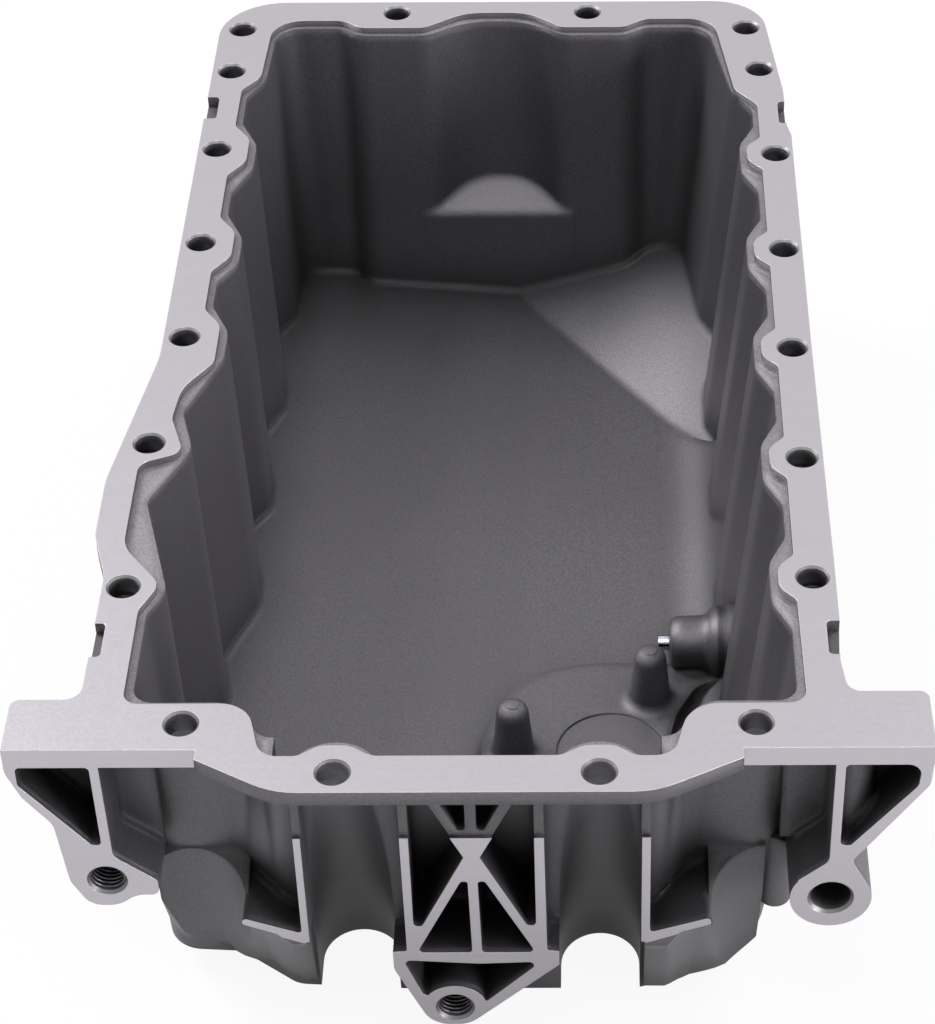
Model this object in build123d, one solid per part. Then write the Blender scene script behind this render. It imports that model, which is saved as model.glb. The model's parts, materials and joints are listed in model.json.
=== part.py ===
from build123d import *
from math import radians, sin, tan
import os

# Engine oil pan: a ribbed aluminium casting with its drain plug and sealing washer.
# It is drawn with its bolting face at z = 0 and its gearbox face at y = 0, and is
# moved to stand on its lowest point, centred, just before it is saved.

# Bolting flange
flange_thick = 7.0
lip_thick = 5.0
bolt_hole = 9.2
hole_edge = 0.7
row_x = 100.4
right_bolts = [72.2, 128.9, 186.1, 242.3, 301.3]
left_bolts = [193.2, 247.2, 305.6]
wide_bolts = [(-105.8, 69.1), (-105.8, 137.3)]
corner_bolts = [(-98.4, 387.9), (93.2, 387.8), (-99.9, 358.1), (97.0, 358.3)]
back_bolts = [(-40.2, 399.4), (32.9, 399.6)]
front_bolts = [(-38.2, -9.0), (36.3, -9.1)]
ear_bolts = [(-82.5, 10.6), (80.9, 10.3)]

# Flange outline
ear_left = -132.3
ear_right = 131.2
ear_back_left = 20.5
ear_back_right = 22.8
edge_left = -107.0
edge_right = 106.7
edge_back = 407.3
lip_front = -17.0
lip_half = 77.5
notch_depth = 4.0
notch_length = 14.4
notch_places = [(-109.0, 45.6), (-102.6, 332.8), (103.3, 45.6), (102.6, 328.2)]

# Sump walls
wall = 4.3
wall_top = 2.5
ledge_top = 5.0
trough_left = -93.3
crest_left = -86.9
trough_right = 93.7
crest_right = 88.1
lean_left = 0.028
lean_right = 0.096
lean_back = 0.032
throat_front = 7.0
lean_throat = 0.12
shoulder_front = 21.4
lean_shoulder = 0.103
spread_left = 0.09
spread_right = 0.01
throat_right = 0.055

# Sump floor
floor_left = (-94.0, -112.0)
floor_low = -120.5
valley_x = 8.0
side_round = 24.0
skin = 4.6
facet_start = (9.0, 374.0)
facet_end = (81.0, 273.0)
facet_rise = (0.283, 0.213)

# Front wall channels below the bolts
channel_r = 12.3
channel_knee = (14.6, -85.0)
channel_foot = (29.5, -126.0)
channel_top_y = -9.0
channel_throat_r = 9.0
channel_throat = 14.0
panel_top = -77.0
panel_level = -118.0
panel_slope = 0.47
gusset_inner = 68.9
side_channel_x = 86.5
side_channel_r = 17.0
side_channel_top = (2.2, -30.0)
side_channel_foot = (14.7, -140.0)
column_top = (90.4, 29.5, -55.0)
column_foot = (90.4, 33.5, -97.0)
column_r = 5.2
foot_y = 24.0
foot_rise = 4.1

# Gearbox face
rib_depth = 34.0
rib_half = 60.0
machined_from = -36.4
rough_setback = 1.0
truss_left = -19.2
truss_right = 17.3
boss_left = (-107.9, -53.6)
boss_right = (104.3, -62.4)
boss_tab = (-8.0, -111.0)
boss_left_r = 9.6
boss_right_r = 12.1
boss_tab_r = 9.8
boss_left_end = 28.5
boss_right_end = 31.8
tab_bore_end = 24.0
thread_bore = 10.2
dowel_bore = 12.0
bore_edge = 0.9
ear_depth = 16.5
ear_web = 4.0

# Inside bosses
pad_top = -114.0
lid_centre = (40.3, 113.0)
lid_r = 18.6
lid_groove = 0.8
pillars = [(53.6, 138.5, -91.5), (7.6, 112.6, -91.5)]
pillar_top_r = 5.4
pillar_foot_r = 6.9
pillar_disc_r = 2.2

# Drain
drain_y = 160.0
drain_z = -108.0
drain_nose_x = 60.5
drain_seat_x = 93.0
drain_collar_r = 14.0
drain_mouth_r = 4.6
drain_thread = 14.0
plug_pin = 5.2
plug_tip_x = 56.8
plug_gap = 0.05
washer_thick = 1.5
washer_outer = 22.0
washer_inner = 14.4
head_flats = 19.0
head_height = 7.5
head_collar = 1.6


def outline(corners):
    """Closed outline through corners (x, y, radius)."""
    count = len(corners)
    ends = []
    for i, (x, y, r) in enumerate(corners):
        here = Vector(x, y)
        before = (Vector(*corners[i - 1][:2]) - here).normalized()
        after = (Vector(*corners[(i + 1) % count][:2]) - here).normalized()
        if r == 0:
            ends.append((here, None, here))
            continue
        half = radians(before.get_angle(after)) / 2
        reach = r / tan(half)
        inward = (before + after).normalized()
        middle = here + inward * (r / sin(half) - r)
        ends.append((here + before * reach, middle, here + after * reach))
    edges = []
    for i, (start, middle, end) in enumerate(ends):
        if middle is not None:
            edges.append(Edge.make_three_point_arc(start, middle, end))
        edges.append(Edge.make_line(end, ends[(i + 1) % count][0]))
    return Wire(edges)


def flat(corners, low, high):
    """Level plate between two heights."""
    return Solid.extrude(Pos(0, 0, low) * Face(outline(corners)), Vector(0, 0, high - low))


def upright(corners, front, back):
    """Plate standing across the pan, outline given as (x, z, radius)."""
    face = Plane((0, front, 0), x_dir=(1, 0, 0), z_dir=(0, -1, 0)) * Face(outline(corners))
    return Solid.extrude(face, Vector(0, back - front, 0))


def along(corners, left, right):
    """Bar running across the pan, outline given as (y, z, radius)."""
    face = Plane((left, 0, 0), x_dir=(0, 1, 0), z_dir=(1, 0, 0)) * Face(outline(corners))
    return Solid.extrude(face, Vector(right - left, 0, 0))


def across(left, right, low, high):
    """Corners of a plain rectangle, for cutting away a whole region."""
    return [(left, low, 0), (left, high, 0), (right, high, 0), (right, low, 0)]


def rod(start, end, radius):
    """Round bar between two points."""
    way = Vector(*end) - Vector(*start)
    return Solid.make_cylinder(radius, way.length, Plane(Vector(*start), z_dir=way))


def wall_line(out, down):
    """Sump wall seen from above, out from its inner face and down from the flange."""
    left = lean_left * down - out
    right = out - lean_right * down
    back = out - lean_back * down
    throat = throat_front + lean_throat * down - out
    shoulder = shoulder_front + lean_shoulder * down - out
    crest_r = 11 - out
    trough_r = 6 + out
    line = [
        (-60.5 + out / 2, throat, trough_r),
        (-66.5 + out / 3 - spread_left * down, shoulder, crest_r),
        (-98.2 + left, shoulder, trough_r),
        (-98.2 + left, 59.5, trough_r),
        (-93.2 + left, 69.5, crest_r),
        (-104.0 + left, 111.5, trough_r),
        (-92.4 + left, 137.0, crest_r),
        (-97.4 + left, 156.0, trough_r),
    ]
    for y in left_bolts:
        line.append((crest_left + left, y - 9, crest_r))
        line.append((crest_left + left, y + 6, crest_r))
        line.append((trough_left + left, y + 20, trough_r))
        if y != left_bolts[-1]:
            line.append((trough_left + left, y + 34, trough_r))
    line += [
        (trough_left + left, 344.0, trough_r),
        (crest_left - 0.3 + left, 355.0, crest_r),
        (-85.6 + left, 392.3 + back, 10 + out),
        (-61.0, 392.3 + back, trough_r),
        (-54.5, 386.8 + back, crest_r),
        (-28.5, 386.8 + back, crest_r),
        (-13.0, 397.2 + back, trough_r + 24),
        (10.0, 397.2 + back, trough_r + 24),
        (23.0, 386.8 + back, crest_r),
        (47.5, 386.8 + back, crest_r),
        (55.0, 392.3 + back, trough_r),
        (79.0 + right, 392.3 + back, 10 + out),
        (86.5 + right, 346.0, crest_r),
        (trough_right + right, 333.0, trough_r),
    ]
    for y in reversed(right_bolts):
        line.append((trough_right + right, y + 21, trough_r))
        line.append((crest_right + right, y + 9, crest_r))
        line.append((crest_right + right, y - 9, crest_r))
        line.append((trough_right + right, y - 21, trough_r))
    line += [
        (trough_right + right, shoulder, trough_r),
        (64.5 - out / 3 - spread_right * down, shoulder, crest_r),
        (58.5 - out / 2 - throat_right * down, throat, trough_r),
    ]
    return line


def opening_line():
    """Inner edge of the bolting face."""
    line = [
        (-59.3, -2.6, 6.5),
        (-64.3, 18.7, 10),
        (-100.2, 18.7, 4.5),
        (-100.2, 58.5, 7),
        (-95.0, 70.0, 6.5),
        (-108.0, 87.5, 14),
        (-108.0, 127.0, 5.5),
        (-94.6, 132.5, 4.6),
        (-100.0, 150.0, 10),
        (-98.4, 165.5, 20),
        (-89.3, 179.0, 8),
    ]
    for y in left_bolts:
        if y != left_bolts[0]:
            line.append((-95.2, y - 17, 6))
            line.append((-89.2, y - 8.5, 9))
        line.append((-89.2, y + 6.5, 9))
        line.append((-95.2, y + 15, 6))
    line += [
        (-95.0, 344.8, 5),
        (-88.6, 353.5, 8),
        (-87.0, 393.8, 12),
        (-60.5, 393.8, 8),
        (-54.0, 388.4, 7),
        (-29.3, 388.4, 7),
        (-14.0, 399.2, 20),
        (10.0, 399.2, 20),
        (22.8, 388.5, 5),
        (46.8, 388.5, 7),
        (55.0, 394.4, 8),
        (80.9, 394.4, 12),
        (87.2, 343.8, 7),
        (95.2, 333.5, 6),
    ]
    for y in reversed(right_bolts):
        line.append((95.2, y + 10.2, 2.4))
        line.append((90.1, y + 4.7, 7))
        line.append((90.1, y - 4.7, 7))
        line.append((95.2, y - 10.2, 2.4))
    line += [
        (95.8, 18.2, 5),
        (62.2, 18.2, 11),
        (57.4, -2.8, 7),
        (46.6, -2.8, 6),
        (40.8, 1.4, 7),
        (32.0, 1.4, 7),
        (25.5, -2.6, 6),
        (-27.8, -2.6, 6),
        (-34.2, 1.6, 7),
        (-42.6, 1.6, 7),
        (-48.6, -2.6, 5),
    ]
    return line


def flange_line():
    """Outer edge of the bolting flange behind the gearbox face."""
    return [
        (ear_left, 0, 0),
        (ear_left, ear_back_left, 3),
        (-112.4, ear_back_left, 5),
        (-112.2, 74.0, 14),
        (-117.3, 92.5, 20),
        (-117.3, 119.0, 40),
        (-107.4, 182.0, 60),
        (edge_left, edge_back, 24),
        (99.0, edge_back, 20),
        (105.2, 343.0, 40),
        (105.4, 319.5, 4),
        (edge_right, 313.0, 4),
        (edge_right, 190.0, 0),
        (107.3, 80.0, 0),
        (107.3, 53.0, 0),
        (106.4, 36.0, 6),
        (107.9, ear_back_right, 4.5),
        (ear_right - 0.3, ear_back_right, 3),
        (ear_right, 0, 0),
    ]


def flange():
    """Bolting flange with the lip over the gearbox face, before its holes."""
    lip = [
        (-lip_half, 8, 0),
        (-lip_half, -3.9, 0),
        (-54.5, lip_front, 26),
        (52.0, lip_front, 26),
        (lip_half - 0.6, -3.9, 0),
        (lip_half - 0.6, 8, 0),
    ]
    plate = flat(flange_line(), -flange_thick, 0)
    return plate + flat(lip, -lip_thick, 0)


def notches():
    """Pockets in the flange's outer edges."""
    cuts = []
    half = notch_length / 2
    for x, y in notch_places:
        beyond = x + (12 if x > 0 else -12)
        corners = [(x, y - half, 1.5), (beyond, y - half, 0), (beyond, y + half, 0), (x, y + half, 1.5)]
        cuts.append(flat(corners, -notch_depth, 1))
    return cuts


def bolt_places():
    """Centres of all the flange's holes."""
    places = [(row_x, y) for y in right_bolts]
    places += [(-row_x, y) for y in left_bolts]
    return places + wide_bolts + corner_bolts + back_bolts + front_bolts + ear_bolts


def bolt_holes():
    """Plain holes with a small broken edge at the bolting face."""
    cuts = []
    for x, y in bolt_places():
        cuts.append(Pos(x, y, -flange_thick / 2) * Cylinder(bolt_hole / 2, flange_thick + 30))
        cuts.append(Pos(x, y, -hole_edge / 2) * Cone(bolt_hole / 2, bolt_hole / 2 + hole_edge, hole_edge))
    return cuts


def floor_line(drop):
    """Floor seen along the pan, as (x, z, radius), closed high above."""
    low = floor_low - drop
    right = trough_right + 0.3 + drop
    slope = (floor_left[1] - floor_low) / (floor_left[0] - valley_x)
    return [
        (-140, 40, 0),
        (-140, low + slope * (-140 - valley_x), 0),
        (valley_x, low, 60),
        (right + lean_right * low, low, side_round + drop),
        (right + lean_right * 40, 40, 0),
    ]


def under_line(drop):
    """Everything above the floor: the level part, and the raised corner beyond its border."""
    x, y = facet_start
    slope = (facet_end[1] - y) / (facet_end[0] - x)
    left_y = y + slope * (-60 - x)
    right_y = y + slope * (140 - x)
    beyond = flat([(-60, left_y, 0), (140, left_y, 0), (140, right_y, 0)], -160, 60)
    across, back = facet_rise
    plane = Plane((x, y, floor_low - drop), z_dir=(-across, -back, 1))
    raised = beyond - plane * Pos(0, 0, -200) * Box(900, 900, 400)
    return upright(floor_line(drop), -60, 460) - beyond + raised


def walls(out, high, low):
    """Solid inside the sump's walls, from one depth to another."""
    wires = [Pos(0, 0, -down) * outline(wall_line(out, down)) for down in (high, low)]
    return Solid.make_loft(wires, ruled=True)


def neck(points, left, right):
    """Forward reach of the front wall just below the flange, as (y, z)."""
    return along([(y, z, 0) for y, z in points], left, right)


def hollow():
    """Space inside the sump."""
    room = walls(0, wall_top, 135) & under_line(0)
    reach = [(-0.6, -wall_top), (-0.6, -9), (10.2, -27), (14.0, -27), (14.0, -wall_top)]
    return room + neck(reach, -56, 54)


def shell():
    """Outside of the sump."""
    body = walls(wall, ledge_top, 140) & under_line(skin)
    reach = [(-7, -ledge_top), (-7, -9), (5.9, -27), (14.0, -27), (14.0, -ledge_top)]
    return body + neck(reach, -60, 58)


def panel_edge(side):
    """Foot of the front panel from its outer to its inner end, as (distance from the middle, y)."""
    if side < 0:
        outer = [(97.6, 36.8), (93.0, 32.3), (80.2, 30.6), (75.2, 27.3)]
        return outer + [(65.5, 23.5), (60.5, 19.4), (55.6, 16.9), (51.5, 17.2)]
    outer = [(86.2, 40.0), (85.0, 31.0), (80.0, 25.8), (72.2, 23.2)]
    return outer + [(64.3, 21.6), (60.6, 19.6), (56.4, 16.3), (49.8, 16.4)]


def gusset(left, right):
    """Swept top of the front panel, where it meets the wall."""
    base = panel_top - 0.4
    sweep = [(24.6, -64.2, 0), (22.6, -65.2, 0), (19.8, -66.5, 0), (16.5, -67.8, 0), (12.0, -69.6, 0)]
    return along([(46, -60, 0)] + sweep + [(8.5, -72.5, 0), (6.5, base, 0), (46, base, 0)], left, right)


def lower_front(side):
    """Panel below the foot of an L rib, with the channel below the ear bolt in it."""
    edge = panel_edge(side)
    forward = panel_slope * (panel_top - panel_level)
    low = panel_level - 12
    corners = [(side * edge[0][0], 48 - forward, 0)]
    corners += [(side * x, y - forward, 0) for x, y in edge]
    corners += [(side * edge[-1][0], 48 - forward, 0)]
    face = Pos(0, 0, panel_top) * Face(outline(corners))
    block = Solid.extrude(face, Vector(0, panel_slope * (panel_top - low), low - panel_top))
    block = block + gusset(*sorted([side * gusset_inner, side * edge[0][0]]))
    x = side * side_channel_x
    block = block - rod((x, *side_channel_top), (x, *side_channel_foot), side_channel_r)
    return block & along(across(0, 60, -150, -50), -120, 120) & under_line(skin)


def corner_column():
    """Half-round column with a rounded top at the right front corner."""
    arch = [(70, -130, 0), (70, -78, 5), (83, -63.8, 10), (91, -63.8, 5), (95.8, -70, 5), (95.8, -130, 0)]
    return rod(column_top, column_foot, column_r) & upright(arch, 0, 60)


def front_foot():
    """Rounding of the lower front edge."""
    low = floor_low - skin - 0.2
    top = low + foot_rise
    curve = [(foot_y - 3.5, low + 1.0, 0), (foot_y - 6.5, low + 2.7, 0), (foot_y - 10.8, top, 0)]
    below = [(-5, top, 0), (-5, -160, 0), (foot_y, -160, 0)]
    return along([(foot_y, low, 0)] + curve + below, -125, 125)


def truss_wall(setback):
    """Line of the wall behind the truss, from the flange to the foot."""
    places = [(4.9, -20), (13.5, -51), (21.0, -77), (25.5, -95), (27.0, -108)]
    return [(y + setback, z, 0) for y, z in places]


def truss_recess():
    """Space between the outer ribs of the truss, in front of the wall."""
    return along([(-30, -20, 0)] + truss_wall(0) + [(-30, -108, 0)], truss_left, truss_right)


def truss_back():
    """Wall behind that space, on the inside."""
    line = truss_wall(wall)
    back = [(line[-1][0], -150, 0), (-9, -150, 0), (-9, -20, 0)]
    return along(line + back, truss_left - wall, truss_right + wall)


def channel_path(x):
    """Points down the middle of a front channel, from the flange to below the floor."""
    knee_y, knee_z = channel_knee
    foot_y, foot_z = channel_foot
    top_y = channel_top_y
    part = (channel_throat - flange_thick) / (-knee_z - flange_thick)
    low_y = foot_y + (foot_y - knee_y) * 0.3
    low_z = foot_z + (foot_z - knee_z) * 0.3
    return [
        Vector(x, top_y, -wall_top),
        Vector(x, top_y + (knee_y - top_y) * part, -channel_throat),
        Vector(x, knee_y, knee_z),
        Vector(x, low_y, low_z),
    ]


def widening(start, end, small, large):
    """Cone between two points."""
    way = end - start
    return Solid.make_cone(small, large, way.length, Plane(start, z_dir=way))


def middle_channel(x):
    """Rounded groove below a front bolt, open to the gearbox side."""
    top, throat, bend, foot = channel_path(x)
    groove = widening(top, throat, channel_throat_r, channel_r)
    groove = groove + rod(throat, bend, channel_r) + rod(bend, foot, channel_r)
    groove = groove & flat(across(x - 60, x + 60, -90, 90), -190, -flange_thick)
    front = -60
    narrow = [(front, -flange_thick, 0), (top.Y, -flange_thick, 0)]
    narrow += [(throat.Y, throat.Z, 0), (front, throat.Z, 0)]
    wide = [(front, throat.Z, 0), (throat.Y, throat.Z, 0), (bend.Y, bend.Z, 0)]
    wide += [(foot.Y, foot.Z, 0), (front, foot.Z, 0)]
    groove = groove + along(narrow, x - channel_throat_r, x + channel_throat_r)
    return groove + along(wide, x - channel_r, x + channel_r)


def channel_sleeve(x):
    """Wall round a middle channel, on the inside."""
    top, throat, bend, foot = channel_path(x)
    sleeve = widening(top, throat, channel_throat_r + wall, channel_r + wall)
    return sleeve + rod(throat, bend, channel_r + wall) + rod(bend, foot, channel_r + wall)


def l_ribs():
    """Upright ribs with a sloped foot, one on each side."""
    left = [(-52.6, -12, 0), (-50.3, -12, 0), (-50.3, -81.5, 0.8)]
    left += [(-70.2, -72.9, 1.2), (-69.6, -70.4, 1.2), (-52.6, -77.2, 1)]
    right = [(51.1, -12, 0), (48.4, -12, 0), (48.4, -81.8, 0.8)]
    right += [(69.6, -73.6, 1.2), (68.8, -71.0, 1.2), (51.1, -77.3, 1)]
    return [upright(left, 0, rib_depth), upright(right, 0, rib_depth)]


def truss():
    """Crossed ribs in the middle, with the low tab and its windows."""
    frame = [
        (-21.9, -12, 0),
        (-21.6, -85.3, 1),
        (-26.0, -85.5, 0.8),
        (-26.0, -93.0, 10),
        (-15.2, -118.9, 8.5),
        (-3.9, -118.9, 8.5),
        (25.6, -90.0, 2.5),
        (25.0, -85.6, 1.5),
        (20.4, -85.0, 1),
        (20.0, -12, 0),
    ]
    left, right = truss_left, truss_right
    windows = [
        [(left, -14, 0), (left, -74.2, 1.4), (-16.6, -74.2, 1.4), (-3.4, -44.6, 0.6), (-17.3, -14, 0)],
        [(right, -14, 0), (right, -74.0, 1.4), (14.6, -74.0, 1.4), (1.3, -44.6, 0.6), (15.5, -14, 0)],
        [(-2.6, -9, 0), (-2.6, -34.2, 1.2), (-4.9, -34.2, 1.2), (-16.4, -9, 0)],
        [(0.6, -9, 0), (0.6, -34.2, 1.2), (2.9, -34.2, 1.2), (14.0, -9, 0)],
        [(-4.6, -54.8, 1.2), (-2.5, -54.8, 1), (-2.0, -85.9, 1.2), (-18.6, -85.9, 1.4)],
        [(2.6, -54.8, 1.2), (0.4, -54.8, 1), (0.9, -85.9, 1.2), (17.0, -85.9, 1.4)],
    ]
    ribs = upright(frame, 0, rib_depth)
    for corners in windows:
        ribs = ribs - upright(corners, -1, rib_depth + 1)
    low = [(-23.0, -89.3, 1.6), (0, -91.0, 40), (18.6, -90.2, 1.6), (1.8, -108.2, 1.6), (-17.4, -105.2, 1.8)]
    x, z = boss_tab
    boss = rod((x, -2, z), (x, rib_depth + 2, z), boss_tab_r)
    return ribs - (upright(low, -1, rib_depth + 1) - boss)


def ear_left_frame():
    """Left ear with its window, web and boss."""
    x, z = boss_left
    outer = [
        (ear_left, -2, 0),
        (ear_left, -9, 10),
        (-128.6, -19.0, 8),
        (-121.0, -30.0, 8),
        (-118.8, -54.0, 8),
        (x - 6, -64.2, 6),
        (x + 3, -64.2, 8),
        (-100.5, -59.6, 8),
        (-93.2, -60.0, 2.5),
        (-93.2, -53.6, 2),
        (-105.2, -43.4, 4),
        (-105.6, -2, 0),
    ]
    window = [(-129.2, -7.0, 1.5), (-108.2, -7.0, 1.5), (-108.0, -39.0, 1.4)]
    window += [(-111.0, -38.4, 1.5), (-129.2, -14.0, 2.5)]
    web = [(-106, -5, 0), (-106, -43.8, 0), (-93.2, -54.8, 0), (-93.2, -5, 0)]
    frame = upright(outer, 0, ear_back_left) - upright(window, -1, ear_depth)
    boss = rod((x, 0, z), (x, boss_left_end, z), boss_left_r)
    return frame + upright(web, ear_back_left - ear_web, ear_back_left) + boss


def ear_right_frame():
    """Right ear with its window, web and boss."""
    x, z = boss_right
    outer = [
        (ear_right, -2, 0),
        (ear_right - 0.6, -15, 6),
        (113.6, -41.0, 0),
        (109.8, -46.5, 3),
        (114.6, -56.0, 0),
        (x + 5, z, 0),
        (x, z + 5, 0),
        (94.2, -55.0, 0),
        (103.2, -46.8, 4),
        (103.3, -2, 0),
    ]
    window = [(106.1, -7.0, 1.5), (127.9, -7.0, 4), (127.2, -15.5, 4)]
    window += [(108.9, -40.2, 1.4), (106.0, -39.6, 1.4)]
    web = [(104, -5, 0), (104, -46.8, 0), (93.5, -56, 0), (90, -56, 0), (90, -5, 0)]
    frame = upright(outer, 0, ear_back_right) + rod((x, 0, z), (x, boss_right_end, z), boss_right_r)
    frame = frame - upright(window, -1, ear_depth + 1)
    column = rod((108.5, 13.5, -4), (108.5, 13.5, -62), 7.5) & upright(outer, 0, 40)
    return frame + column + upright(web, ear_back_right - ear_web, ear_back_right)


def gearbox_holes():
    """Two tapped bores and one plain bore in the gearbox face, with broken edges."""
    cuts = []
    through = ear_back_right + 40
    bores = [(boss_left, thread_bore, through), (boss_right, dowel_bore, through)]
    for (x, z), bore, depth in bores + [(boss_tab, thread_bore, tab_bore_end)]:
        mouth = Cone(bore / 2 + bore_edge, bore / 2 - 0.1, 1.0)
        cuts.append(rod((x, -1, z), (x, depth, z), bore / 2))
        cuts.append(Plane((x, 0, z), z_dir=(0, 1, 0)) * Pos(0, 0, 0.5) * mouth)
    return cuts


def sensor_pad():
    """Raised pad in the front right of the floor, with two pillars."""
    pad = [
        (-1.0, 60, 0),
        (-3.5, 118.0, 14),
        (8.0, 150.0, 30),
        (34.0, 156.5, 60),
        (62.0, 155.5, 0),
        (86.0, 154.0, 4),
        (86.0, 149.0, 3),
        (70.0, 145.5, 10),
        (62.5, 131.0, 14),
        (58.0, 110.0, 0),
        (56.0, 60, 0),
    ]
    raised = flat(pad, floor_low - 1, pad_top)
    x, y = lid_centre
    groove = Pos(x, y, pad_top) * (Cylinder(lid_r, 1.2) - Cylinder(lid_r - lid_groove, 1.2))
    raised = raised - groove - Pos(x, y, pad_top) * Cylinder(lid_r - lid_groove / 2, 0.5)
    for px, py, top in pillars:
        raised = raised + Pos(px, py, pad_top) * pillar(top - pad_top)
    return raised


def turned(places, axis):
    """Solid of revolution from (distance along the axis, radius)."""
    if axis == Axis.X:
        profile = [Vector(far, r, 0) for far, r in places]
    else:
        profile = [Vector(r, 0, far) for far, r in places]
    return Solid.revolve(Face(Wire.make_polygon(profile, close=True)), 360, axis)


def pillar(height):
    """Tapered pillar with a rounded shoulder, a flat disc on top and a swept foot."""
    foot = [(-3, 0), (-3, pillar_foot_r + 2.4), (0, pillar_foot_r + 2.4)]
    sweep = [(0.7, pillar_foot_r + 0.7), (2.6, pillar_foot_r)]
    shoulder = [(height - 3.8, pillar_top_r), (height - 1.8, pillar_top_r - 0.6)]
    top = [(height - 0.7, pillar_top_r - 1.8), (height - 0.3, pillar_disc_r), (height, pillar_disc_r)]
    return turned(foot + sweep + shoulder + top + [(height, 0)], Axis.Z)


def drain_boss():
    """Stepped round boss for the drain plug on the right wall."""
    nose = [(0, 0), (0, 6.6), (0.9, 8.4), (3.0, 9.3), (11.5, 9.5)]
    ring = [(13.2, 10.3), (14.5, 12.0), (16.5, 12.9), (18.5, 12.0), (19.6, 12.2), (20.8, 13.6)]
    seat = drain_seat_x - drain_nose_x
    places = nose + ring + [(27, drain_collar_r), (seat, drain_collar_r), (seat, 0)]
    return Pos(drain_nose_x, drain_y, drain_z) * turned(places, Axis.X)


def drain_line(x):
    """Point on the drain plug's own line."""
    return (x, drain_y, drain_z)


def drain_bore():
    """Bore for the plug, with its narrow mouth into the sump and its flat seat."""
    end = drain_nose_x + 6
    outside = drain_seat_x + 30
    bore = rod(drain_line(outside), drain_line(end), drain_thread / 2)
    mouth = rod(drain_line(end + 1), drain_line(drain_nose_x - 1), drain_mouth_r)
    return [bore, mouth, rod(drain_line(drain_seat_x), drain_line(outside), drain_collar_r)]


def drain_plug():
    """Threaded plug with a hexagon head and a pin at its end."""
    seat = drain_seat_x + washer_thick
    end = drain_nose_x + 7.5
    plug = rod(drain_line(seat), drain_line(end), drain_thread / 2 - plug_gap)
    plug = plug + rod(drain_line(end), drain_line(plug_tip_x), plug_pin / 2)
    plug = plug + rod(drain_line(seat), drain_line(seat + head_collar), washer_outer / 2 - 0.2)
    flats = RegularPolygon(head_flats / 2, 6, major_radius=False)
    return plug + extrude(Plane(drain_line(seat), z_dir=(1, 0, 0)) * flats, head_height)


def drain_washer():
    """Flat sealing ring below the plug's head."""
    ring = Circle(washer_outer / 2) - Circle(washer_inner / 2)
    return extrude(Plane(drain_line(drain_seat_x), z_dir=(1, 0, 0)) * ring, washer_thick)


def back_bulge():
    """Sloped foot of the pocket in the back wall."""
    ramp = [(382.4, -150, 0), (383.9, -82.3, 0), (403, -65.0, 0), (403, -150, 0)]
    return along(ramp, -32, 27)


def casting():
    """The whole pan as one casting."""
    body = flange() + shell() - truss_recess()
    body = body + lower_front(-1) + lower_front(1) - front_foot() + corner_column()
    for piece in l_ribs() + [truss(), ear_left_frame(), ear_right_frame(), drain_boss()]:
        body = body + piece
    room = hollow() - sensor_pad() - drain_boss() - back_bulge() - truss_back()
    for x, y in front_bolts:
        room = room - channel_sleeve(x)
    body = body - room
    for x, y in front_bolts:
        body = body - middle_channel(x)
    body = body - flat(opening_line(), -wall_top, 1)
    body = body - flat(across(-rib_half, rib_half, -30, rough_setback), machined_from, -flange_thick)
    return body - notches() - bolt_holes() - gearbox_holes() - drain_bore()


if __name__ == "__main__":
    os.makedirs("parts", exist_ok=True)
    pan = casting()
    box = pan.bounding_box()
    stand = Pos(-(box.min.X + box.max.X) / 2, -(box.min.Y + box.max.Y) / 2, -box.min.Z)
    export_step(stand * pan, "parts/pan_casting.step")
    export_step(stand * drain_plug(), "parts/drain_plug.step")
    export_step(stand * drain_washer(), "parts/drain_plug_washer.step")
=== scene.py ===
"""Looks of an engine oil pan: cast and machined aluminium, tapped bores, drain plug and studio."""

import json
import logging
import math
from dataclasses import dataclass, field, replace
from enum import Enum
from typing import Any, Optional, Sequence

import bpy
from mathutils import Matrix, Vector

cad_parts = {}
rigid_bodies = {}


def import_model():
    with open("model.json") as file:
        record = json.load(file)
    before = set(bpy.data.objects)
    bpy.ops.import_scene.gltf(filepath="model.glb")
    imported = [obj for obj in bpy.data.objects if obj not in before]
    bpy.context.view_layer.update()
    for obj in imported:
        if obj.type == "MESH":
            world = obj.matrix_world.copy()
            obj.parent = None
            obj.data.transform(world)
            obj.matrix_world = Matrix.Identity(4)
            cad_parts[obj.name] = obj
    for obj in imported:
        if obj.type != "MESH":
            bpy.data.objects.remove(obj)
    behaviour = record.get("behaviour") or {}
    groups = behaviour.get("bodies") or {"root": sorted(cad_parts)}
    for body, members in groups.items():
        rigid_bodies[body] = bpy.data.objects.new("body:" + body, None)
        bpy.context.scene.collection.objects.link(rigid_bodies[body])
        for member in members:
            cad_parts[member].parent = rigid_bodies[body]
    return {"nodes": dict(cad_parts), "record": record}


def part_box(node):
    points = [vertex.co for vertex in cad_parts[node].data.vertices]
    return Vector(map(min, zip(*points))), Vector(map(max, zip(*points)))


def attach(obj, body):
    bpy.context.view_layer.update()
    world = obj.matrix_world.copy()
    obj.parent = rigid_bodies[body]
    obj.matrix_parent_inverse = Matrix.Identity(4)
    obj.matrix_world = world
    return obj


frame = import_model()

MM = 0.001
log = logging.getLogger("pan")
Point = tuple[float, float, float]
Colour = tuple[float, float, float]
Range = tuple[float, float]
WHITE: Colour = (1.0, 1.0, 1.0)


class Body(Enum):
    """Rigid bodies that pieces ride on."""

    PAN = "root"


class Part(Enum):
    """Solids of the frame."""

    CASTING = "pan_casting"
    PLUG = "drain_plug"
    WASHER = "drain_plug_washer"


class Slot(Enum):
    """Material slots of the record that added pieces go into."""

    CAST = "cast_aluminium"


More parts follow.
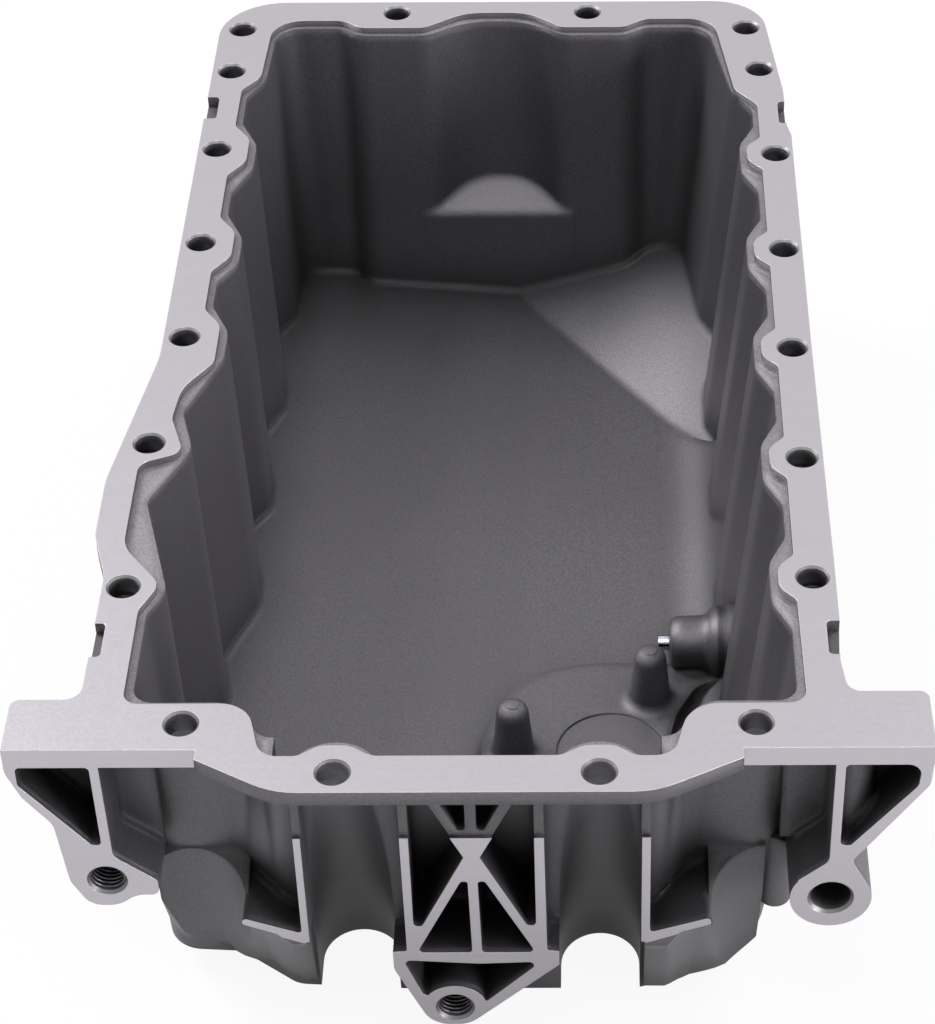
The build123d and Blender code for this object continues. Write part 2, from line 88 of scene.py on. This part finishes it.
class Axis(Enum):
    """Axis that a piece was turned about."""

    X = 0
    Y = 1


def linear(level: float) -> float:
    """Linear value of a screen level between 0 and 255."""
    share = level / 255
    return share / 12.92 if share <= 0.04045 else ((share + 0.055) / 1.055) ** 2.4


def tint(red: float, green: float, blue: float) -> Colour:
    """Linear colour of three screen levels."""
    return (linear(red), linear(green), linear(blue))


class Nodes:
    """A node tree, built one node at a time."""

    def __init__(self, tree: Any) -> None:
        """Takes over a tree and empties it.

        Args:
            tree: The node tree.
        """
        self.tree = tree
        self.tree.nodes.clear()

    def add(self, kind: str, settings: Optional[dict[str, Any]] = None, **inputs: Any) -> Any:
        """Adds one node.

        Args:
            kind: The node's type name.
            settings: Properties of the node itself.
            inputs: Values or sockets for its inputs; a name such as in_0 is an index.

        Returns:
            The new node.
        """
        node = self.tree.nodes.new(kind)
        for name, value in (settings or {}).items():
            setattr(node, name, value)
        for name, value in inputs.items():
            key: Any = int(name[3:]) if name.startswith("in_") else name.replace("_", " ")
            self.feed(node.inputs[key], value)
        return node

    def feed(self, socket: Any, value: Any) -> None:
        """Links a socket to a socket, or sets its constant.

        Args:
            socket: The input socket.
            value: An output socket, or a constant that the socket takes.
        """
        if isinstance(value, bpy.types.NodeSocket):
            self.tree.links.new(value, socket)
        elif isinstance(value, tuple) and socket.type == "RGBA":
            socket.default_value = (*value[:3], 1.0)
        else:
            socket.default_value = value

    def math(self, operation: str, first: Any, second: Any = 0.0) -> Any:
        """Result of one sum.

        Args:
            operation: The operation's name.
            first: First value or socket.
            second: Second value or socket.

        Returns:
            The output socket.
        """
        return self.add("ShaderNodeMath", {"operation": operation}, in_0=first, in_1=second).outputs[0]

    def product(self, first: Any, *others: Any) -> Any:
        """Product of values or sockets, which is "and" where they are 0 or 1."""
        for other in others:
            first = self.math("MULTIPLY", first, other)
        return first

    def under(self, value: Any, limit: Any) -> Any:
        """Socket that is 1 where a value lies under a limit."""
        return self.math("LESS_THAN", value, limit)

    def over(self, value: Any, limit: Any) -> Any:
        """Socket that is 1 where a value lies over a limit."""
        return self.math("GREATER_THAN", value, limit)

    def near(self, value: Any, place: float, within: float) -> Any:
        """Socket that is 1 where a value lies near a place.

        Args:
            value: The socket.
            place: The place.
            within: How far off it may lie.

        Returns:
            The output socket.
        """
        return self.under(self.math("ABSOLUTE", self.math("SUBTRACT", value, place)), within)

    def lerp(self, share: Any, start: float, end: float) -> Any:
        """Number between two numbers.

        Args:
            share: Socket of the second number's share.
            start: First number.
            end: Second number.

        Returns:
            The output socket.
        """
        return self.math("ADD", self.math("MULTIPLY", share, end - start), start)


class Shader(Nodes):
    """A material's node tree."""

    def __init__(self, name: str) -> None:
        """Starts an empty material.

        Args:
            name: The material's name.
        """
        self.material = bpy.data.materials.new(name)
        self.material.use_nodes = True
        super().__init__(self.material.node_tree)
        self.coords = self.add("ShaderNodeTexCoord").outputs

    def parts(self, vector: Any) -> Any:
        """Separate numbers of a vector socket."""
        return self.add("ShaderNodeSeparateXYZ", in_0=vector).outputs

    def noise(
        self, scale: float, detail: float = 0.0, rough: float = 0.5, stretch: Optional[Point] = None
    ) -> Any:
        """Noise on the object's own coordinates.

        Args:
            scale: Cells to a metre.
            detail: Number of finer layers.
            rough: Strength of the finer layers.
            stretch: Scale along each axis, if it isn't even.

        Returns:
            The noise's socket, about 0.5 on average.
        """
        place = self.coords["Object"]
        if stretch is not None:
            place = self.add("ShaderNodeMapping", Vector=place, Scale=stretch).outputs[0]
        node = self.add("ShaderNodeTexNoise", Vector=place, Scale=scale, Detail=detail, Roughness=rough)
        return node.outputs[0]

    def between(self, value: Any, span: Range, start: float = 0.0, end: float = 1.0) -> Any:
        """Value remapped smoothly from one range to another.

        Args:
            value: The socket.
            span: Values that give start and end.
            start: Result at and before the first of them.
            end: Result at and after the second.

        Returns:
            The remapped socket.
        """
        node = self.add(
            "ShaderNodeMapRange",
            {"interpolation_type": "SMOOTHSTEP"},
            in_0=value,
            in_1=span[0],
            in_2=span[1],
            in_3=start,
            in_4=end,
        )
        return node.outputs[0]

    def blend(self, share: Any, first: Any, second: Any) -> Any:
        """Mix of two colours.

        Args:
            share: Share of the second.
            first: First colour or socket.
            second: Second colour or socket.

        Returns:
            The mixed colour's socket.
        """
        node = self.add("ShaderNodeMix", {"data_type": "RGBA"}, in_0=share, in_6=first, in_7=second)
        return node.outputs[2]

    def finish(self, **inputs: Any) -> bpy.types.Material:
        """Ends the tree in a surface shader.

        Args:
            inputs: Inputs of the surface shader.

        Returns:
            The finished material.
        """
        surface = self.add("ShaderNodeBsdfPrincipled", **inputs)
        self.add("ShaderNodeOutputMaterial", Surface=surface.outputs[0])
        return self.material


@dataclass(frozen=True)
class CastingFinish:
    """Blasted casting with faces machined bright at the top and the front, painted shade in its recesses,
    and painted highlights on the inner ledge and the machined rims.
    """

    top: float
    front: float

    # colours
    skin: Colour = tint(104, 102, 105)
    skin_dark: Colour = tint(88, 86, 89)
    # painted shade: recesses darken towards this colour
    painted_recess_shade: Colour = tint(34, 33, 35)
    # painted highlight: the inner ledge is coloured paler, as light from above would make it
    ledge: Colour = tint(124, 121, 126)
    chamfer: Colour = tint(112, 110, 113)
    bright: Colour = tint(178, 174, 180)
    bright_streak: Colour = tint(170, 166, 173)
    # painted highlight along the rounded rims of the machined faces
    edge_highlight: Colour = tint(222, 219, 224)

    # where the machined planes, the broken edges and the ledge with its painted highlight are
    flat_within: float = 0.06 * MM
    level_from: float = 0.95
    slant_from: float = 0.3
    broken_drop: float = 0.8 * MM
    mouth_behind: float = 1.2 * MM
    mouth_ahead: float = 0.1 * MM
    ledge_drop: float = 2.5 * MM
    foot_from: float = 40.0 * MM
    foot_to: float = 85.0 * MM
    foot_drop: float = 102.7 * MM
    foot_slope: float = 0.41

    # patterns: cells to a metre, the noise levels that they run between, and their share
    grain_scale: float = 1500.0
    grain_detail: float = 1.0
    grain_rough: float = 0.7
    grain_span: Range = (0.25, 0.75)
    cloud_scale: float = 14.0
    cloud_span: Range = (0.3, 0.7)
    cloud_share: float = 0.25
    streak_scale: float = 60.0
    streak_stretch: Point = (1.0, 18.0, 18.0)
    streak_span: Range = (0.2, 0.8)
    streak_share: float = 0.2
    # the painted ledge highlight follows the grain between these levels, down to its least share
    ledge_light_span: Range = (0.3, 0.6)
    ledge_light_least: float = 0.5
    coarse_scale: float = 260.0
    coarse_share: float = 0.4

    # painted shade in recesses, painted highlights on machined rims, and rounding
    shade_reach: float = 22.0 * MM
    shade_span: Range = (0.08, 0.5)
    shade_samples: int = 1
    # painted rim highlight: how far the rounded normal turns before the rim shows, and its share
    rim_highlight_span: Range = (0.9, 0.99)
    rim_highlight_share: float = 0.8
    round_cast: float = 4.5 * MM
    round_milled: float = 0.4 * MM
    round_samples: int = 2

    # surface
    skin_rough: float = 0.46
    bright_rough: float = 0.32
    grain_on_rough: float = 0.12
    skin_metal: float = 0.7
    bare_metal: float = 0.95
    bare_smooth: float = 0.93
    bump_strength: float = 0.35
    bump_depth: float = 0.12 * MM

    def mask(self, shader: Shader) -> tuple[Any, Any, Any]:
        """Where the casting is machined, where its edges are broken, and where the inner ledge with its
        painted highlight is.

        Args:
            shader: The tree to build in.

        Returns:
            Sockets that are 1 on machined faces, on broken edges and on the ledge that is painted paler.
        """
        x, y, z = shader.parts(shader.coords["Object"])
        _, ny, nz = shader.parts(shader.coords["Normal"])
        level = shader.over(nz, self.level_from)
        facing = shader.under(ny, -self.level_from)
        on_top = shader.product(shader.near(z, self.top, self.flat_within), level)
        aside = shader.math("ABSOLUTE", x)
        foot = shader.math("ADD", shader.product(aside, self.foot_slope), self.top - self.foot_drop)
        cast_foot = shader.product(
            shader.over(aside, self.foot_from), shader.under(aside, self.foot_to), shader.under(z, foot)
        )
        not_foot = shader.math("SUBTRACT", 1.0, cast_foot)
        on_front = shader.product(shader.near(y, self.front, self.flat_within), facing, not_foot)
        slanted = shader.product(shader.over(nz, self.slant_from), shader.under(nz, self.level_from))
        top_edge = shader.product(shader.over(z, self.top - self.broken_drop), slanted)
        leaning = shader.product(shader.under(ny, -self.slant_from), shader.over(ny, -self.level_from))
        front_edge = shader.product(
            shader.under(y, self.front + self.mouth_behind),
            shader.over(y, self.front - self.mouth_ahead),
            leaning,
        )
        ledge = shader.product(shader.near(z, self.top - self.ledge_drop, self.flat_within), level)
        milled = shader.math("MAXIMUM", on_top, on_front)
        return milled, shader.math("MAXIMUM", top_edge, front_edge), ledge

    def cast_colour(self, shader: Shader, fine: Any, ledge: Any) -> Any:
        """Colour of the cast skin, with painted shade in its recesses and a painted highlight on the inner
        ledge.

        Args:
            shader: The tree to build in.
            fine: Socket of the fine grain.
            ledge: Socket that is 1 on the inner ledge, where the highlight is painted.

        Returns:
            The colour's socket.
        """
        cloudy = shader.between(shader.noise(self.cloud_scale), self.cloud_span)
        colour = shader.blend(shader.between(fine, self.grain_span), self.skin_dark, self.skin)
        colour = shader.blend(shader.product(cloudy, self.cloud_share), colour, self.skin_dark)
        # painted shade: the skin darkens towards a near-black colour where ambient occlusion finds a recess
        settings = {"samples": self.shade_samples}
        occlusion_shade = shader.add("ShaderNodeAmbientOcclusion", settings, Distance=self.shade_reach)
        colour = shader.blend(shader.between(occlusion_shade.outputs["AO"], self.shade_span), self.painted_recess_shade, colour)
        # painted highlight: the inner ledge is painted paler, as if lit from above
        painted_ledge_light = shader.product(ledge, shader.between(fine, self.ledge_light_span, self.ledge_light_least))
        return shader.blend(painted_ledge_light, colour, self.ledge)

    def milled_colour(self, shader: Shader) -> Any:
        """Colour of the machined faces, with faint streaks across the pan.

        Args:
            shader: The tree to build in.

        Returns:
            The colour's socket.
        """
        streak = shader.noise(self.streak_scale, stretch=self.streak_stretch)
        share = shader.between(streak, self.streak_span, 0.0, self.streak_share)
        return shader.blend(share, self.bright, self.bright_streak)

    def material(self, name: str) -> bpy.types.Material:
        """Builds the finish.

        Args:
            name: The material's name.

        Returns:
            The material.
        """
        shader = Shader(name)
        milled, broken, ledge = self.mask(shader)
        bare = shader.math("MAXIMUM", milled, broken)
        fine = shader.noise(self.grain_scale, self.grain_detail, self.grain_rough)
        colour = self.cast_colour(shader, fine, ledge)
        colour = shader.blend(milled, colour, self.milled_colour(shader))

        radius = shader.lerp(bare, self.round_cast, self.round_milled)
        soft = shader.add("ShaderNodeBevel", {"samples": self.round_samples}, Radius=radius).outputs[0]
        true = shader.add("ShaderNodeNewGeometry").outputs["Normal"]
        turn = shader.add("ShaderNodeVectorMath", {"operation": "DOT_PRODUCT"}, in_0=soft, in_1=true)
        # painted highlight: machined faces turn pale along their rims, where the rounded normal leaves the
        # true one
        painted_rim = shader.product(shader.between(turn.outputs["Value"], self.rim_highlight_span, 1.0, 0.0), milled)
        colour = shader.blend(shader.product(painted_rim, self.rim_highlight_share), colour, self.edge_highlight)
        colour = shader.blend(broken, colour, self.chamfer)

        uneven = shader.product(shader.math("SUBTRACT", fine, 0.5), self.grain_on_rough)
        rough = shader.math("ADD", shader.lerp(milled, self.skin_rough, self.bright_rough), uneven)
        covered = shader.math("SUBTRACT", 1.0, shader.product(bare, self.bare_smooth))
        coarse = shader.product(shader.noise(self.coarse_scale), self.coarse_share)
        height = shader.product(shader.math("ADD", fine, coarse), covered)
        bump = shader.add(
            "ShaderNodeBump",
            Strength=self.bump_strength,
            Distance=self.bump_depth,
            Height=height,
            Normal=soft,
        )
        return shader.finish(
            Base_Color=colour,
            Metallic=shader.lerp(bare, self.skin_metal, self.bare_metal),
            Roughness=rough,
            Normal=bump.outputs[0],
        )


@dataclass(frozen=True)
class MetalFinish:
    """Plain metal with fine turning marks round one axis, and a painted dark band along a pin, between its
    reflected highlights, if it has one.
    """

    colour: Colour
    worn: Colour
    rough: float
    axis: Axis
    centre: Point = (0.0, 0.0, 0.0)
    # painted reflection: width, height and colour of a dark band between the pin's highlights
    painted_band_width: float = 0.0
    painted_band_height: float = 0.9 * MM
    painted_band_colour: Colour = tint(30, 30, 38)
    mark_pitch: float = 0.35 * MM
    mark_depth: float = 0.04 * MM
    mark_strength: float = 0.2
    spot_scale: float = 420.0
    spot_detail: float = 3.0
    spot_span: Range = (0.35, 0.7)
    spot_rough: float = 0.15

    def material(self, name: str) -> bpy.types.Material:
        """Builds the finish.

        Args:
            name: The material's name.

        Returns:
            The material.
        """
        shader = Shader(name)
        shift = tuple(-value for value in self.centre)
        place = shader.add("ShaderNodeMapping", Vector=shader.coords["Object"], Location=shift)
        x, y, z = shader.parts(place.outputs[0])
        across = {Axis.X: (y, z), Axis.Y: (x, z)}[self.axis]
        squares = [shader.product(value, value) for value in across]
        radius = shader.math("SQRT", shader.math("ADD", squares[0], squares[1]))
        rings = shader.math("SINE", shader.product(radius, 2 * math.pi / self.mark_pitch))
        spots = shader.between(shader.noise(self.spot_scale, self.spot_detail), self.spot_span)
        colour = shader.blend(spots, self.colour, self.worn)
        # painted reflection: a dark band along the pin's tip, between two highlights that its shine would
        # show
        if self.painted_band_width:
            painted_band = shader.near(z, self.painted_band_height, self.painted_band_width / 2)
            colour = shader.blend(shader.product(painted_band, shader.under(x, 0.0)), colour, self.painted_band_colour)
        rough = shader.math("ADD", shader.product(spots, self.spot_rough), self.rough)
        bump = shader.add(
            "ShaderNodeBump", Strength=self.mark_strength, Distance=self.mark_depth, Height=rings
        )
        return shader.finish(Base_Color=colour, Metallic=1.0, Roughness=rough, Normal=bump.outputs[0])


class Tree(Nodes):
    """A geometry tree with named inputs, run once and turned into a mesh."""

    def __init__(self, name: str, inputs: dict[str, float]) -> None:
        """Starts a tree.

        Args:
            name: The tree's name.
            inputs: Name and value of each size.
        """
        super().__init__(bpy.data.node_groups.new(name, "GeometryNodeTree"))
        self.values = inputs
        sockets = self.tree.interface
        sockets.new_socket("Places", in_out="INPUT", socket_type="NodeSocketGeometry")
        for label in inputs:
            sockets.new_socket(label, in_out="INPUT", socket_type="NodeSocketFloat")
        sockets.new_socket("Geometry", in_out="OUTPUT", socket_type="NodeSocketGeometry")
        self.start = self.add("NodeGroupInput")
        self.end = self.add("NodeGroupOutput")

    def size(self, label: str) -> Any:
        """Socket of a named input."""
        return self.start.outputs[label]

    def piece(
        self, name: str, geometry: Any, material: bpy.types.Material, places: Sequence[Point] = ()
    ) -> bpy.types.Object:
        """Ends the tree and turns its result into a plain mesh object.

        Args:
            name: The object's name.
            geometry: The socket that holds the geometry.
            material: What the geometry is made of.
            places: Points that the tree reads as its Places.

        Returns:
            The new object, at the origin.
        """
        real = self.add("GeometryNodeRealizeInstances", Geometry=geometry)
        dressed = self.add("GeometryNodeSetMaterial", Geometry=real.outputs[0], Material=material)
        self.tree.links.new(dressed.outputs[0], self.end.inputs[0])
        seed = bpy.data.meshes.new(name + "_seed")
        seed.from_pydata(list(places), [], [])
        holder = bpy.data.objects.new(name, seed)
        bpy.context.scene.collection.objects.link(holder)
        modifier = holder.modifiers.new("build", "NODES")
        modifier.node_group = self.tree
        for item in self.tree.interface.items_tree:
            if item.item_type == "SOCKET" and item.in_out == "INPUT" and item.name in self.values:
                modifier[item.identifier] = self.values[item.name]
        graph = bpy.context.evaluated_depsgraph_get()
        mesh = bpy.data.meshes.new_from_object(holder.evaluated_get(graph), depsgraph=graph)
        mesh.name = name
        holder.modifiers.remove(modifier)
        holder.data = mesh
        return holder


@dataclass
class TappedThread:
    """Thread ridge that winds down a tapped bore along Y."""

    name: str
    centre: Point
    depth: float
    bore: float = 5.1 * MM
    pitch: float = 1.5 * MM
    ridge: float = 0.62 * MM
    steps: int = 40
    sides: int = 4

    def build(self, material: bpy.types.Material) -> bpy.types.Object:
        """Winds the ridge.

        Args:
            material: The thread's finish.

        Returns:
            The thread as one mesh piece.
        """
        sizes = {"Radius": self.bore, "Depth": self.depth, "Pitch": self.pitch, "Ridge": self.ridge}
        tree = Tree(self.name, sizes)
        spiral = tree.add(
            "GeometryNodeCurveSpiral",
            Resolution=self.steps,
            Rotations=tree.math("DIVIDE", tree.size("Depth"), tree.size("Pitch")),
            Start_Radius=tree.size("Radius"),
            End_Radius=tree.size("Radius"),
            Height=tree.size("Depth"),
        )
        upright = tree.add("GeometryNodeSetCurveNormal", {"mode": "Z_UP"}, Curve=spiral.outputs[0])
        profile = tree.add(
            "GeometryNodeCurvePrimitiveCircle", Resolution=self.sides, Radius=tree.size("Ridge")
        )
        ridge = tree.add(
            "GeometryNodeCurveToMesh",
            Curve=upright.outputs[0],
            Profile_Curve=profile.outputs[0],
            Fill_Caps=True,
        )
        turned = tree.add(
            "GeometryNodeTransform",
            Geometry=ridge.outputs[0],
            Translation=self.centre,
            Rotation=(-math.pi / 2, 0.0, 0.0),
        )
        return tree.piece(self.name, turned.outputs[0], material)


@dataclass
class BoltBosses:
    """Short bosses round the bolt holes, on the underside of the flange."""

    bore: float = 4.6 * MM
    outer: float = 6.1 * MM
    depth: float = 2.7 * MM
    flange: float = 7.0 * MM
    sunk: float = 0.2 * MM
    clear_of_front: float = 40.0 * MM
    steps: int = 40

    def places(self, front: float, top: float) -> list[Point]:
        """Middles of the bosses.

        Args:
            front: Place of the gearbox face along Y.
            top: Height of the bolting face.

        Returns:
            One point for each bolt that stands behind the front wall.
        """
        height = top - self.flange + self.sunk - self.depth / 2
        bolts = [row["pos_m"] for row in frame["record"]["mounts"] if row["name"].startswith("bolt_")]
        return [(x, y, height) for x, y, _ in bolts if y > front + self.clear_of_front]

    def build(self, front: float, top: float, material: bpy.types.Material) -> bpy.types.Object:
        """Sets one ring at each bolt.

        Args:
            front: Place of the gearbox face along Y.
            top: Height of the bolting face.
            material: The casting's finish.

        Returns:
            All the bosses as one mesh piece.
        """
        tree = Tree("bolt_bosses", {"Bore": self.bore, "Outer": self.outer, "Depth": self.depth})
        middle = tree.product(tree.math("ADD", tree.size("Bore"), tree.size("Outer")), 0.5)
        wall = tree.math("SUBTRACT", tree.size("Outer"), tree.size("Bore"))
        path = tree.add("GeometryNodeCurvePrimitiveCircle", Resolution=self.steps, Radius=middle)
        section = tree.add("GeometryNodeCurvePrimitiveQuadrilateral", Width=tree.size("Depth"), Height=wall)
        ring = tree.add("GeometryNodeCurveToMesh", Curve=path.outputs[0], Profile_Curve=section.outputs[0])
        spread = tree.add(
            "GeometryNodeInstanceOnPoints", Points=tree.size("Places"), Instance=ring.outputs[0]
        )
        return tree.piece("bolt_bosses", spread.outputs[0], material, self.places(front, top))


@dataclass
class WallStrip:
    """Strip that closes the front wall just below the flange."""

    width: float = 114.0 * MM
    thickness: float = 2.8 * MM
    height: float = 6.2 * MM
    behind: float = 1.6 * MM
    below: float = 9.9 * MM

    def build(self, front: float, top: float, material: bpy.types.Material) -> bpy.types.Object:
        """Sets the strip behind the gearbox face.

        Args:
            front: Place of the gearbox face along Y.
            top: Height of the bolting face.
            material: The casting's finish.

        Returns:
            The strip as one mesh piece.
        """
        sizes = {"Width": self.width, "Thickness": self.thickness, "Height": self.height}
        tree = Tree("wall_strip", sizes)
        width, thickness, height = (tree.size(label) for label in sizes)
        size = tree.add("ShaderNodeCombineXYZ", in_0=width, in_1=thickness, in_2=height)
        block = tree.add("GeometryNodeMeshCube", Size=size.outputs[0])
        place = (0.0, front + self.behind, top - self.below)
        moved = tree.add("GeometryNodeTransform", Geometry=block.outputs[0], Translation=place)
        return tree.piece("wall_strip", moved.outputs[0], material)


@dataclass
class Casting:
    """The pan itself, which keeps its solid and gets its finishes."""

    low: Vector = field(default_factory=lambda: Vector(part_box(Part.CASTING.value)[0]))
    high: Vector = field(default_factory=lambda: Vector(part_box(Part.CASTING.value)[1]))
    lip: float = 17.0 * MM
    half_shift: float = 0.55 * MM
    ear_thread: Point = (-107.9 * MM, 1.2 * MM, -53.6 * MM)
    ear_depth: float = 26.0 * MM
    tab_thread: Point = (-8.0 * MM, 1.2 * MM, -111.0 * MM)
    tab_depth: float = 21.0 * MM
    cut: MetalFinish = MetalFinish(tint(98, 96, 98), tint(66, 64, 66), 0.4, Axis.Y)

    @property
    def front(self) -> float:
        """Place of the gearbox face along Y."""
        return self.low.y + self.lip

    def place(self, point: Point) -> Point:
        """Point in the frame, of a point measured from the gearbox face and the bolting face."""
        return (point[0] + self.half_shift, point[1] + self.front, point[2] + self.high.z)

    def build(self) -> None:
        """Dresses the casting, and adds its bosses, its strip and its threads."""
        finish = CastingFinish(top=self.high.z, front=self.front).material("cast_and_machined")
        dress(Part.CASTING, finish)
        keep(BoltBosses().build(self.front, self.high.z, finish))
        keep(WallStrip().build(self.front, self.high.z, finish))
        threads = (
            ("ear_thread", self.ear_thread, self.ear_depth),
            ("tab_thread", self.tab_thread, self.tab_depth),
        )
        for name, middle, depth in threads:
            centre = self.place(middle)
            material = replace(self.cut, centre=centre).material(name + "_cut")
            keep(TappedThread(name, centre, depth).build(material))


@dataclass
class Drain:
    """Drain plug and its sealing washer."""

    plug: MetalFinish = MetalFinish(tint(206, 208, 222), tint(176, 178, 190), 0.22, Axis.X, painted_band_width=0.7 * MM)
    ring: MetalFinish = MetalFinish(tint(206, 206, 208), tint(176, 176, 180), 0.4, Axis.X)

    def build(self) -> None:
        """Dresses both pieces, with turning marks round their own axis."""
        low, high = (Vector(corner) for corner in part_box(Part.PLUG.value))
        centre = tuple((low + high) / 2)
        for part, finish in ((Part.PLUG, self.plug), (Part.WASHER, self.ring)):
            dress(part, replace(finish, centre=centre).material(part.value + "_finish"))


@dataclass
class Lamp:
    """One soft, white area light."""

    name: str
    place: Point
    target: Point
    size: float
    power: float

    def build(self) -> None:
        """Hangs the lamp and turns it to its target."""
        data = bpy.data.lights.new(self.name, "AREA")
        data.shape = "SQUARE"
        data.size = self.size
        data.energy = self.power
        lamp = bpy.data.objects.new(self.name, data)
        lamp.location = self.place
        aim = Vector(self.target) - Vector(self.place)
        lamp.rotation_euler = aim.to_track_quat("-Z", "Y").to_euler()
        bpy.context.scene.collection.objects.link(lamp)


@dataclass
class Studio:
    """Pale floor, soft lamps and a white surround."""

    floor_size: float = 8.0
    floor_colour: Colour = (0.6, 0.6, 0.605)
    floor_glow: float = 0.92
    floor_sheen: float = 0.35
    world_level: float = 0.4
    sheen_level: float = 1.0
    lamps: Sequence[Lamp] = (
        Lamp("key_lamp", (-1.5, 0.76, 1.88), (0.05, 0.13, 0.02), 0.9, 80.0),
        Lamp("over_lamp", (0.0, -0.45, 1.3), (0.0, 0.15, 0.05), 0.6, 6.0),
        Lamp("right_lamp", (1.5, 0.9, 1.9), (0.0, 0.0, 0.05), 0.9, 38.0),
        Lamp("front_lamp", (1.2, -0.8, 0.4), (0.05, -0.2, 0.03), 0.5, 17.0),
    )

    def build(self) -> None:
        """Sets up the floor, the lamps and the world."""
        self.floor()
        for lamp in self.lamps:
            lamp.build()
        self.world()
        bpy.context.scene.view_settings.view_transform = "Standard"

    def floor(self) -> None:
        """Lays the floor, which is near white to the camera and keeps the pan's shadow."""
        half = self.floor_size / 2
        mesh = bpy.data.meshes.new("floor")
        corners = [(-half, -half, 0.0), (half, -half, 0.0), (half, half, 0.0), (-half, half, 0.0)]
        mesh.from_pydata(corners, [], [(0, 1, 2, 3)])
        floor = bpy.data.objects.new("floor", mesh)
        bpy.context.scene.collection.objects.link(floor)
        shader = Shader("floor_paper")
        paper = shader.add("ShaderNodeBsdfDiffuse", Color=self.floor_colour)
        glow = shader.add("ShaderNodeEmission", Color=WHITE, Strength=1.0)
        path = shader.add("ShaderNodeLightPath").outputs
        seen = shader.math("MAXIMUM", path["Is Camera Ray"], path["Is Transmission Ray"])
        seen = shader.product(seen, self.floor_glow)
        seen = shader.math("MAXIMUM", seen, shader.product(path["Is Glossy Ray"], self.floor_sheen))
        mix = shader.add("ShaderNodeMixShader", in_0=seen, in_1=paper.outputs[0], in_2=glow.outputs[0])
        shader.add("ShaderNodeOutputMaterial", Surface=mix.outputs[0])
        mesh.materials.append(shader.material)

    def world(self) -> None:
        """Surrounds the scene with plain light, white to the camera and to reflections."""
        world = bpy.data.worlds.new("studio")
        world.use_nodes = True
        nodes = Nodes(world.node_tree)
        path = nodes.add("ShaderNodeLightPath").outputs
        direct = nodes.math("MAXIMUM", path["Is Camera Ray"], path["Is Transmission Ray"])
        level = nodes.lerp(path["Is Glossy Ray"], self.world_level, self.sheen_level)
        plain = nodes.add("ShaderNodeBackground", Color=WHITE, Strength=level)
        white = nodes.add("ShaderNodeBackground", Color=WHITE, Strength=1.0)
        mix = nodes.add("ShaderNodeMixShader", in_0=direct, in_1=plain.outputs[0], in_2=white.outputs[0])
        nodes.add("ShaderNodeOutputWorld", Surface=mix.outputs[0])
        bpy.context.scene.world = world


@dataclass
class PhotoCamera:
    """Camera at the picture's angle.

    Its place is measured from the gearbox face and the bolting face, its angles are in degrees, and its
    shift is a share of the picture's longer side.
    """

    place: Point = (36.25 * MM, -591.5 * MM, 588.9 * MM)
    tilt: float = 49.69
    roll: float = -0.234
    lens: float = 104.05
    sensor: float = 36.0
    shift: float = -130.75 / 1024
    reach: float = 50.0

    def build(self, casting: Casting) -> None:
        """Places the camera.

        Args:
            casting: The pan that it looks at.
        """
        data = bpy.data.cameras.new("camera")
        data.lens = self.lens
        data.sensor_width = self.sensor
        data.shift_x = self.shift
        data.clip_end = self.reach
        camera = bpy.data.objects.new("camera", data)
        camera.location = casting.place(self.place)
        tilted = Matrix.Rotation(math.radians(self.tilt), 4, "X")
        rolled = Matrix.Rotation(math.radians(self.roll), 4, "Z")
        camera.rotation_euler = (tilted @ rolled).to_euler()
        bpy.context.scene.collection.objects.link(camera)
        bpy.context.scene.camera = camera


def dress(part: Part, material: bpy.types.Material) -> None:
    """Gives a solid of the frame its finish.

    Args:
        part: The solid.
        material: The finish.
    """
    node = frame["nodes"][part.value]
    for holder in [node, *node.children_recursive]:
        for slot in holder.material_slots:
            slot.material = material
    report(node)


def keep(piece: bpy.types.Object) -> None:
    """Hands a piece of the casting to the frame.

    Args:
        piece: The finished piece.
    """
    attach(piece, Body.PAN.value)
    report(piece)


def report(piece: bpy.types.Object) -> None:
    """Logs a piece and its number of faces.

    Args:
        piece: The finished piece.
    """
    count = len(piece.data.polygons) if piece.type == "MESH" else 0
    log.info("%s: %d faces", piece.name, count)


def main() -> None:
    """Builds the looks round the frame."""
    logging.basicConfig(level=logging.INFO, format="%(name)s: %(message)s")
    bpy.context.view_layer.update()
    casting = Casting()
    casting.build()
    Drain().build()
    Studio().build()
    PhotoCamera().build(casting)


if __name__ == "__main__":
    main()
